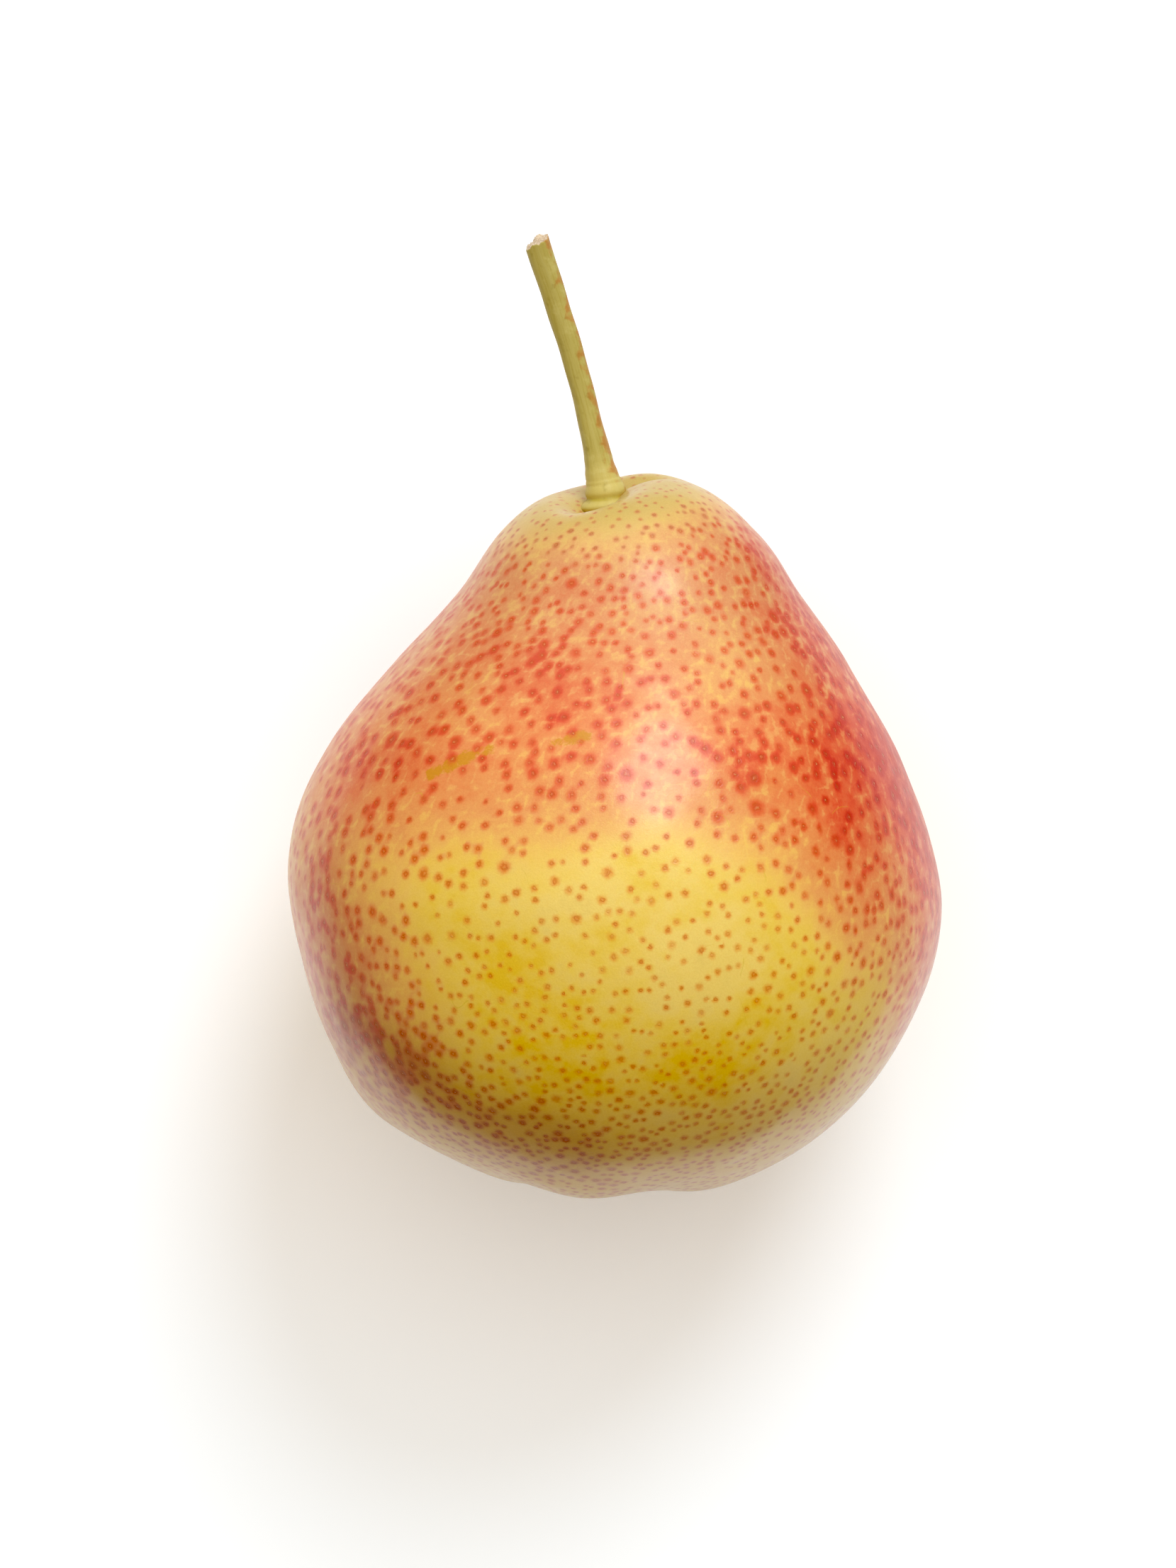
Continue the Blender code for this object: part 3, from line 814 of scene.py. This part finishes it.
# %% The red pigment
uneven = w.times_plus(fibre, 0.3, -0.15)
uneven = w.plus(w.times_plus(mottle, 0.5, -0.25), uneven)
pale_net = w.band(w.plus(w.attribute("border_distance"), uneven), 0.0, 0.18, 0.2, 0.0)
evenly = w.times_plus(blush, 0.25, 0.52)
spread_out = w.times(blush, w.math("SUBTRACT", w.plus(uneven, evenly), pale_net))
ragged_halo = w.plus(w.attribute("halo"), w.times(uneven, 0.35))
gathered = w.band(ragged_halo, 0.12, 0.95)
gathered = w.times(gathered, w.times_plus(blush, 0.45, 0.14))
gathered = w.times(gathered, w.times_plus(brown_and_shade, 1.3, 1.0))
pigment = w.plus(spread_out, gathered)
reddened = w.ramp(pigment, [
    (0.0, (0.73, 0.490, 0.090)),
    (0.12, (0.72, 0.415, 0.095)),
    (0.3, (0.67, 0.280, 0.080)),
    (0.5, (0.64, 0.160, 0.045)),
    (0.7, (0.60, 0.070, 0.018)),
    (1.0, (0.51, 0.022, 0.005)),
])
colour = w.mix(w.band(w.plus(blush, gathered), 0.0, 0.35), ground, reddened)
gold = w.math("POWER", w.math("MAXIMUM", w.attribute("gold"), 0.0), 2.0)
gold = w.band(w.times_plus(gold, 1.8, w.times(fibre, 2.2)), 2.0, 2.7)
colour = w.mix(w.times(gold, 0.9), colour, (0.52, 0.22, 0.004))
# Painted shade: the brown field darkens the skin towards the flower end and the lower left, partly as brown
# skin and partly as shade of the underside.
colour = w.mix(brown_and_shade, colour, (0.62, 0.47, 0.25), "MULTIPLY")
colour = w.mix(w.attribute("neck"), colour, (0.88, 0.91, 1.20), "MULTIPLY")

# %% Hair-thin scratches
# A scratch runs where a slow noise passes through its middle value.
off_the_line = w.math("ABSOLUTE", w.math("SUBTRACT", w.noise(place, 0.11, 1.0, 0.4, 0.5), 0.5))
here_and_there = w.band(w.noise(place, 0.3, 0.0), 0.6, 0.66)
scratch = w.times(w.band(off_the_line, 0.0, 0.0022, 0.4, 0.0), here_and_there)
colour = w.mix(scratch, colour, (0.52, 0.36, 0.010))

# %% The lenticels' spots, rings and pale middles
wobble = w.noise(place, 2.6, 3.0, output="Color")
wobble = w.vector("MULTIPLY_ADD", wobble, (0.4,) * 3, (-0.2,) * 3)["Vector"]
way_there = w.vector("ADD", w.attribute("way_to_lenticel", "Vector"), wobble)["Vector"]
away = w.vector("LENGTH", way_there)["Value"]
spot = w.band(away, 0.08, 0.62, 1.0, 0.0)
spot_colour = w.ramp(blush, [
    (0.0, (0.68, 0.225, 0.008)),
    (0.35, (0.65, 0.115, 0.012)),
    (0.9, (0.46, 0.018, 0.004)),
])
spot_colour = w.mix(brown_and_shade, spot_colour, (0.30, 0.065, 0.002))
spot_colour = w.mix(crown, spot_colour, (0.46, 0.17, 0.045))
spot_share = w.times_plus(brown_and_shade, 0.25, w.times_plus(strength, 0.5, 0.42))
colour = w.mix(w.times(spot, spot_share), colour, spot_colour)
ring = w.times(w.band(away, 0.16, 0.30, 1.0, 0.0), w.band(away, 0.05, 0.14))
ring_share = w.times(strength, w.times_plus(blush, 0.15, 0.3))
colour = w.mix(w.times(ring, ring_share), colour, (0.34, 0.055, 0.003))
core = w.times(w.band(away, 0.05, 0.13, 1.0, 0.0), w.band(grain, 0.35, 0.6))
core = w.times(core, w.times_plus(blush, 0.3, 0.35))
colour = w.mix(core, colour, (0.52, 0.28, 0.09))
colour = w.mix(0.15, colour, w.ramp(grain, [(0.3, (0.4, 0.3, 0.2)), (0.7, (1.0, 0.9, 0.8))]), "SOFT_LIGHT")
w.shade(Base_Color=colour)

# %% The skin's shine and its fine relief
w.shade(Roughness=w.band(mottle, 0.3, 0.7, 0.36, 0.46))
towards_stem = w.node("SeparateXYZ", None, {0: place}).outputs["Y"]
w.shade(Coat_Weight=w.band(towards_stem, -15.0, 12.0, COAT_AT_FLOWER, COAT_AT_STEM))
relief = w.plus(w.times(grain, 0.5), w.times(fibre, 0.8))
relief = w.math("SUBTRACT", relief, w.times(ring, 0.6))
w.shade(Normal=w.bump(relief, 0.00003))
skin_mesh.materials.append(skin_material)
print("the skin's material has", len(skin_material.node_tree.nodes), "nodes")

# %% [markdown]
# ## The stem
#
# The stem is a woody tube that swells where it grows out of the fruit, bends to the left, and was
# snapped off at its end. It is made as a tube: a centre line, a frame of two directions that turns
# along with it, and a radius for every height and angle. The radius carries the swelling, two fleshy
# folds at the foot with a crease between them, fine rings above, and long soft ridges.


# %% A tube along a centre line
def tube_rings(line, radius):
    """Rings of points round a centre line. radius has one row per point of the line.

    The first direction is x made square to the line, and the second is the line's direction crossed
    with it. A ring's point is the centre + radius * (first * cos(angle) + second * sin(angle)).
    """
    along = unit(np.gradient(line, axis=0))
    side = unit(np.array([1.0, 0.0, 0.0]) - along * along[:, :1])
    other = np.cross(along, side)
    angle = np.linspace(0.0, 2 * pi, radius.shape[1], endpoint=False)
    ring = side[:, None] * np.cos(angle)[:, None] + other[:, None] * np.sin(angle)[:, None]
    return line[:, None] + ring * radius[..., None]


# %% The stem's shape
STEM_ROWS, STEM_COLUMNS = 220, 64
STEM_RISE = 27.1
FRONT_LEFT, RIGHT_SIDE = radians(-132.0), radians(-20.0)

share = np.linspace(-0.1, 1.0, STEM_ROWS)[:, None]
angle = np.linspace(0.0, 2 * pi, STEM_COLUMNS, endpoint=False)[None, :]
bent = np.clip(share[:, 0], 0.0, None)
stem_line = np.stack([
    -0.75 - 6.9 * bent**1.35,
    -1.8 - 3.4 * bent**1.8,
    38.0 + STEM_RISE * share[:, 0],
], axis=-1)

front_left = 0.5 + 0.5 * np.cos(angle - FRONT_LEFT)
right_side = 0.5 + 0.5 * np.cos(angle - RIGHT_SIDE)
stem_radius = (
    1.15 + 0.8 * bell(share, 0.2) + 0.15 * np.clip(share, 0.0, 1.0) ** 4
    + 0.36 * bell(share - 0.08, 0.06) * right_side**2
    # The lower fold, the crease over it and the upper fold.
    + 0.85 * bell(share - 0.030, 0.026) * front_left**1.5
    - 0.22 * bell(share - 0.062, 0.010) * (0.3 + 0.7 * front_left)
    + 0.12 * bell(share - 0.085, 0.018) * (0.4 + 0.6 * front_left)
    # Two fine rings, and ripples over them.
    - 0.06 * bell(share - 0.112, 0.006) - 0.05 * bell(share - 0.130, 0.005)
    - 0.05 * np.abs(np.sin(60.0 * share)) * bell(share - 0.17, 0.05)
    # Ridges that run up the stem and twist a little.
    + 0.035 * np.sin(3 * angle + 4.0 * share) + 0.015 * np.sin(5 * angle - 6.0 * share + 1.0)
    + 0.05 * np.sin(9.0 * share + 1.5) * np.sin(23.0 * share + angle)
)
stem_rings = tube_rings(stem_line, stem_radius)

# %% [markdown]
# The broken end is a ragged face: rings that shrink to the middle, each point of them moved in or out
# along the stem. Slow waves round the rim slant and notch it, a hump stands off the middle, and quick
# waves are the torn splinters. The side wall's last part takes the same notches, so the rim isn't a
# clean circle.

# %% The broken end
tip_along = unit(stem_line[-1] - stem_line[-2])
rim = stem_rings[-1] - stem_line[-1]
ragged = 0.32 * np.cos(angle[0] - radians(-10.0)) + 0.12 * np.sin(3 * angle[0] + 1.0)
ragged += 0.07 * np.sin(7 * angle[0] + 2.0) + 0.04 * np.sin(15 * angle[0])
near_end = bell(1.0 - share, 0.03)
stem_rings = stem_rings + (near_end * ragged)[..., None] * tip_along
inward = np.array([0.95, 0.88, 0.78, 0.66, 0.52, 0.38, 0.22, 0.1])[:, None]
hump = 0.6 * bell(inward - 0.45, 0.35) * bell(np.sin(angle / 2 - radians(35.0)), 0.45)
splinters = 0.10 * np.sin(17 * angle + 9 * inward) * inward
splinters = splinters + 0.06 * np.sin(31 * angle - 14 * inward) * inward
depth = ragged * inward + 0.10 * (1 - inward) + hump + splinters
end_rings = stem_line[-1] + rim * inward[..., None] + tip_along * depth[..., None]
stem_rings = np.concatenate([stem_rings, end_rings])
end_point = stem_line[-1] + depth[-1].mean() * tip_along
stem_mesh = closed_surface("stem", laid_down(stem_rings), laid_down(stem_line[0]), laid_down(end_point))
add_piece("pear_stem", stem_mesh, "stem", "stem")

# %% [markdown]
# The stem is olive green, with brown cork on its right side, a paler yellow foot, and a pale, fibrous
# end. Fine fibres run along it. They follow the surface, so their pattern reads the stem's UV map,
# which is stretched: many times round, a few times along.

# %% The stem material
# Past 1 is the broken end. The last two values are for the points that close the tube.
ring_share = np.append(share[:, 0], np.full(len(inward), 1.1))
store(stem_mesh, "along_stem", np.append(np.repeat(ring_share, STEM_COLUMNS), [-0.1, 1.1]))
brown_side = np.tile(np.cos(angle[0] - RIGHT_SIDE), len(ring_share))
store(stem_mesh, "brown_side", np.append(brown_side, [0.0, 0.0]))

stem_material, w = new_material("green_stem", IOR=1.45)
uv = w.node("UVMap", {"uv_map": "round_and_along"}).outputs[0]
stretched = w.node("Mapping", None, {"Vector": uv, "Scale": (26.0, 5.0, 1.0)}).outputs[0]
place = w.millimetres()
fibres = w.noise(stretched, 1.0, 4.0, 0.65)
mottle, grain = blotches_and_grain(w, place, 0.7, 7.0)
along_stem = w.attribute("along_stem")
colour = w.ramp(fibres, [
    (0.3, (0.37, 0.29, 0.060)),
    (0.5, (0.43, 0.345, 0.085)),
    (0.7, (0.46, 0.38, 0.11)),
])
colour = w.mix(w.band(along_stem, 0.28, 0.08, 0.0, 0.75), colour, (0.58, 0.46, 0.13))
# Painted shade: a darker line along the crease between the foot's two folds.
crease_painted_shade = w.band(w.math("ABSOLUTE", w.math("SUBTRACT", along_stem, 0.060)), 0.0, 0.012, 0.6, 0.0)
colour = w.mix(crease_painted_shade, colour, (0.36, 0.26, 0.004))
corky = w.plus(w.attribute("brown_side"), w.times_plus(mottle, 1.8, -0.9))
corky = w.times(w.band(corky, 0.78, 1.15), w.band(along_stem, 0.0, 0.12))
colour = w.mix(w.times(corky, 0.75), colour, (0.46, 0.17, 0.035))
colour = w.mix(w.band(mottle, 0.55, 0.75, 0.0, 0.45), colour, (0.25, 0.18, 0.02))
colour = w.mix(w.band(mottle, 0.45, 0.25, 0.0, 0.4), colour, (0.56, 0.48, 0.17))
broken = w.band(along_stem, 1.0, 1.06)
colour = w.mix(broken, colour, w.ramp(grain, [(0.3, (0.46, 0.30, 0.17)), (0.6, (0.74, 0.60, 0.42))]))
w.shade(Base_Color=colour)
w.shade(Roughness=w.band(fibres, 0.3, 0.7, 0.62, 0.45))
w.shade(Normal=w.bump(w.plus(fibres, w.times(grain, 0.5)), 0.00004))
stem_mesh.materials.append(stem_material)

# %% [markdown]
# ## The dried flower
#
# The calyx is what is left of the flower: a small cup, five pointed sepals and a tuft of stamens, all
# dry and dark. They sit in the basin at the end that faces away from the stem.

# %% The cup
# Radius and height, in millimetres: from the buried foot up the outside, over the rim and down inside.
CUP_PROFILE = np.array([
    (1.0, -26.9), (1.95, -27.0), (2.1, -27.6), (2.05, -28.6), (2.1, -29.1), (1.95, -29.3),
    (1.7, -29.15), (1.55, -28.6), (1.5, -27.9), (0.9, -27.6),
])
CUP_COLUMNS = 72
turn = np.linspace(0.0, 2 * pi, CUP_COLUMNS, endpoint=False)
fine = np.linspace(0, len(CUP_PROFILE) - 1, 46)
profile = np.stack([through_points(fine, np.arange(10.0), CUP_PROFILE[:, i]) for i in (0, 1)], axis=-1)
crinkle = 1.0 + 0.035 * np.sin(5 * turn + 0.4) + 0.02 * np.sin(13 * turn) + 0.02 * np.sin(21 * turn + 2.0)
cup_rings = np.stack([
    profile[:, :1] * np.cos(turn) * crinkle,
    profile[:, :1] * np.sin(turn) * crinkle,
    profile[:, 1:] + 0.06 * np.sin(7 * turn + 3.0 * profile[:, 1:]),
], axis=-1)[::-1]
cup_mesh = closed_surface("cup", laid_down(cup_rings), laid_down([0, 0, -27.6]), laid_down([0, 0, -26.9]))
dry_pieces = [add_piece("calyx_cup_rim", cup_mesh, "dry_calyx", "calyx_cup")]


# %% [markdown]
# Each sepal is a blade that leaves the cup's rim, leans out and curls back as it dried. Its two
# parameters are the share of its length and the share of its width. The blade is cupped, its edges
# ripple, and its tip is drawn out to a point. A Solidify modifier gives it its thickness.

# %% The sepals
SEPAL_LENGTH, SEPAL_WIDTH, SEPAL_THICKNESS = 4.2, 2.3, 0.22
SEPAL_OUT, SEPAL_HEIGHT = 2.65, -28.55


def sepal_points(number, along, across):
    """Points of one sepal: an arc that starts at the lean and turns by the curl, with a tapering width.

    The sideways place is the across share times the half width; ripples and the cupped section push
    each point along the blade's own normal.
    """
    lean = radians(28.0 + random.uniform(-4.0, 4.0))
    curl = radians(62.0 + random.uniform(-8.0, 8.0))
    length = SEPAL_LENGTH * random.uniform(0.88, 1.0)
    bend = lean + curl * along
    out = SEPAL_OUT + length / curl * (cos(lean) - np.cos(bend))
    down = SEPAL_HEIGHT - length / curl * (np.sin(bend) - sin(lean))
    half = SEPAL_WIDTH / 2 * (1.0 - np.clip(along, 0.0, 1.0) ** 1.6) ** 0.8
    half = half * (1.0 + 0.07 * np.sin(9 * along + number)) + 0.05
    sideways = across * half + 0.25 * along**2 * sin(2.0 * number)
    lift = 0.12 * across**2 + 0.06 * np.sin(7 * along + 3 * across + number) * np.abs(across)
    out = out - lift * np.cos(bend)
    down = down - lift * np.sin(bend)
    around = 2 * pi * (number - 0.5) / 5
    x = out * cos(around) - sideways * sin(around)
    y = out * sin(around) + sideways * cos(around)
    return np.stack([x, y, down], axis=-1)


def open_sheet(name, points):
    """A mesh of quads from a grid of points, with u across it and v along it."""
    rows, columns = points.shape[:2]
    quad_rows, quad_columns = quad_corners(rows - 1, columns - 1)
    quads = (quad_rows * columns + quad_columns).reshape(-1, 4)
    uv = np.column_stack([quad_columns.ravel() / (columns - 1), quad_rows.ravel() / (rows - 1)])
    return new_mesh(name, points.reshape(-1, 3), quads.tolist(), uv)


along, across = np.meshgrid(np.linspace(-0.16, 1.0, 38), np.linspace(-1.0, 1.0, 17), indexing="ij")
for number in range(1, 6):
    blade = open_sheet(f"sepal_{number}", laid_down(sepal_points(number, along, across)))
    sepal = add_piece(f"dry_sepal_{number}", blade, "dry_calyx", f"sepal_{number}")
    wall = sepal.modifiers.new("thickness", "SOLIDIFY")
    wall.thickness = SEPAL_THICKNESS * MM
    wall.offset = 0.0
    dry_pieces.append(sepal)

# %% The stamens
STAMEN_COUNT = 16
STAMEN_TURN = 2.4
stamen_share = np.linspace(0.0, 1.0, 14)
meshes = []
for number in range(STAMEN_COUNT):
    turn = STAMEN_TURN * number
    foot = 0.25 + 0.9 * sqrt((number + 0.5) / STAMEN_COUNT)
    out = foot + random.uniform(0.1, 0.5) * 2.4 * stamen_share**2
    sway = 0.2 * np.sin(3.0 * stamen_share + number)
    x = out * cos(turn) - sway * sin(turn)
    y = out * sin(turn) + sway * cos(turn)
    z = -27.7 - random.uniform(1.9, 2.9) * stamen_share
    line = np.stack([x, y, z], axis=-1)
    thickness = 0.085 - 0.02 * stamen_share + 0.12 * bell(stamen_share - 0.95, 0.07)
    rings = laid_down(tube_rings(line, np.repeat(thickness[:, None], 8, axis=1)))
    meshes.append(closed_surface("stamen", rings, laid_down(line[0]), laid_down(line[-1])))

# %% [markdown]
# The filaments are joined into one mesh, because they are one tuft. Joining by hand is short: each
# mesh's points follow the last one's, and its faces' numbers move up by as many.

# %% Join the tuft
all_points, all_faces = [], []
for mesh in meshes:
    start = sum(len(p) for p in all_points)
    all_points.append([v.co[:] for v in mesh.vertices])
    all_faces += [[start + i for i in face.vertices] for face in mesh.polygons]
    bpy.data.meshes.remove(mesh)
tuft_mesh = new_mesh("stamens", np.concatenate(all_points), all_faces)
dry_pieces.append(add_piece("stamen_tuft", tuft_mesh, "dry_calyx", "stamens"))

# %% The dry material
dry_material, w = new_material("dried_calyx", IOR=1.4)
place = w.millimetres()
streaks, dust = blotches_and_grain(w, place, 1.6, 6.0)
colour = w.ramp(streaks, [
    (0.3, (0.05, 0.026, 0.014)),
    (0.52, (0.15, 0.078, 0.036)),
    (0.7, (0.34, 0.20, 0.10)),
])
colour = w.mix(w.band(dust, 0.55, 0.75, 0.0, 0.5), colour, (0.36, 0.26, 0.15))
w.shade(Base_Color=colour)
w.shade(Roughness=w.band(dust, 0.3, 0.7, 0.75, 0.95))
w.shade(Normal=w.bump(w.plus(streaks, w.times(dust, 0.4)), 0.00015))
for piece in dry_pieces:
    piece.data.materials.append(dry_material)
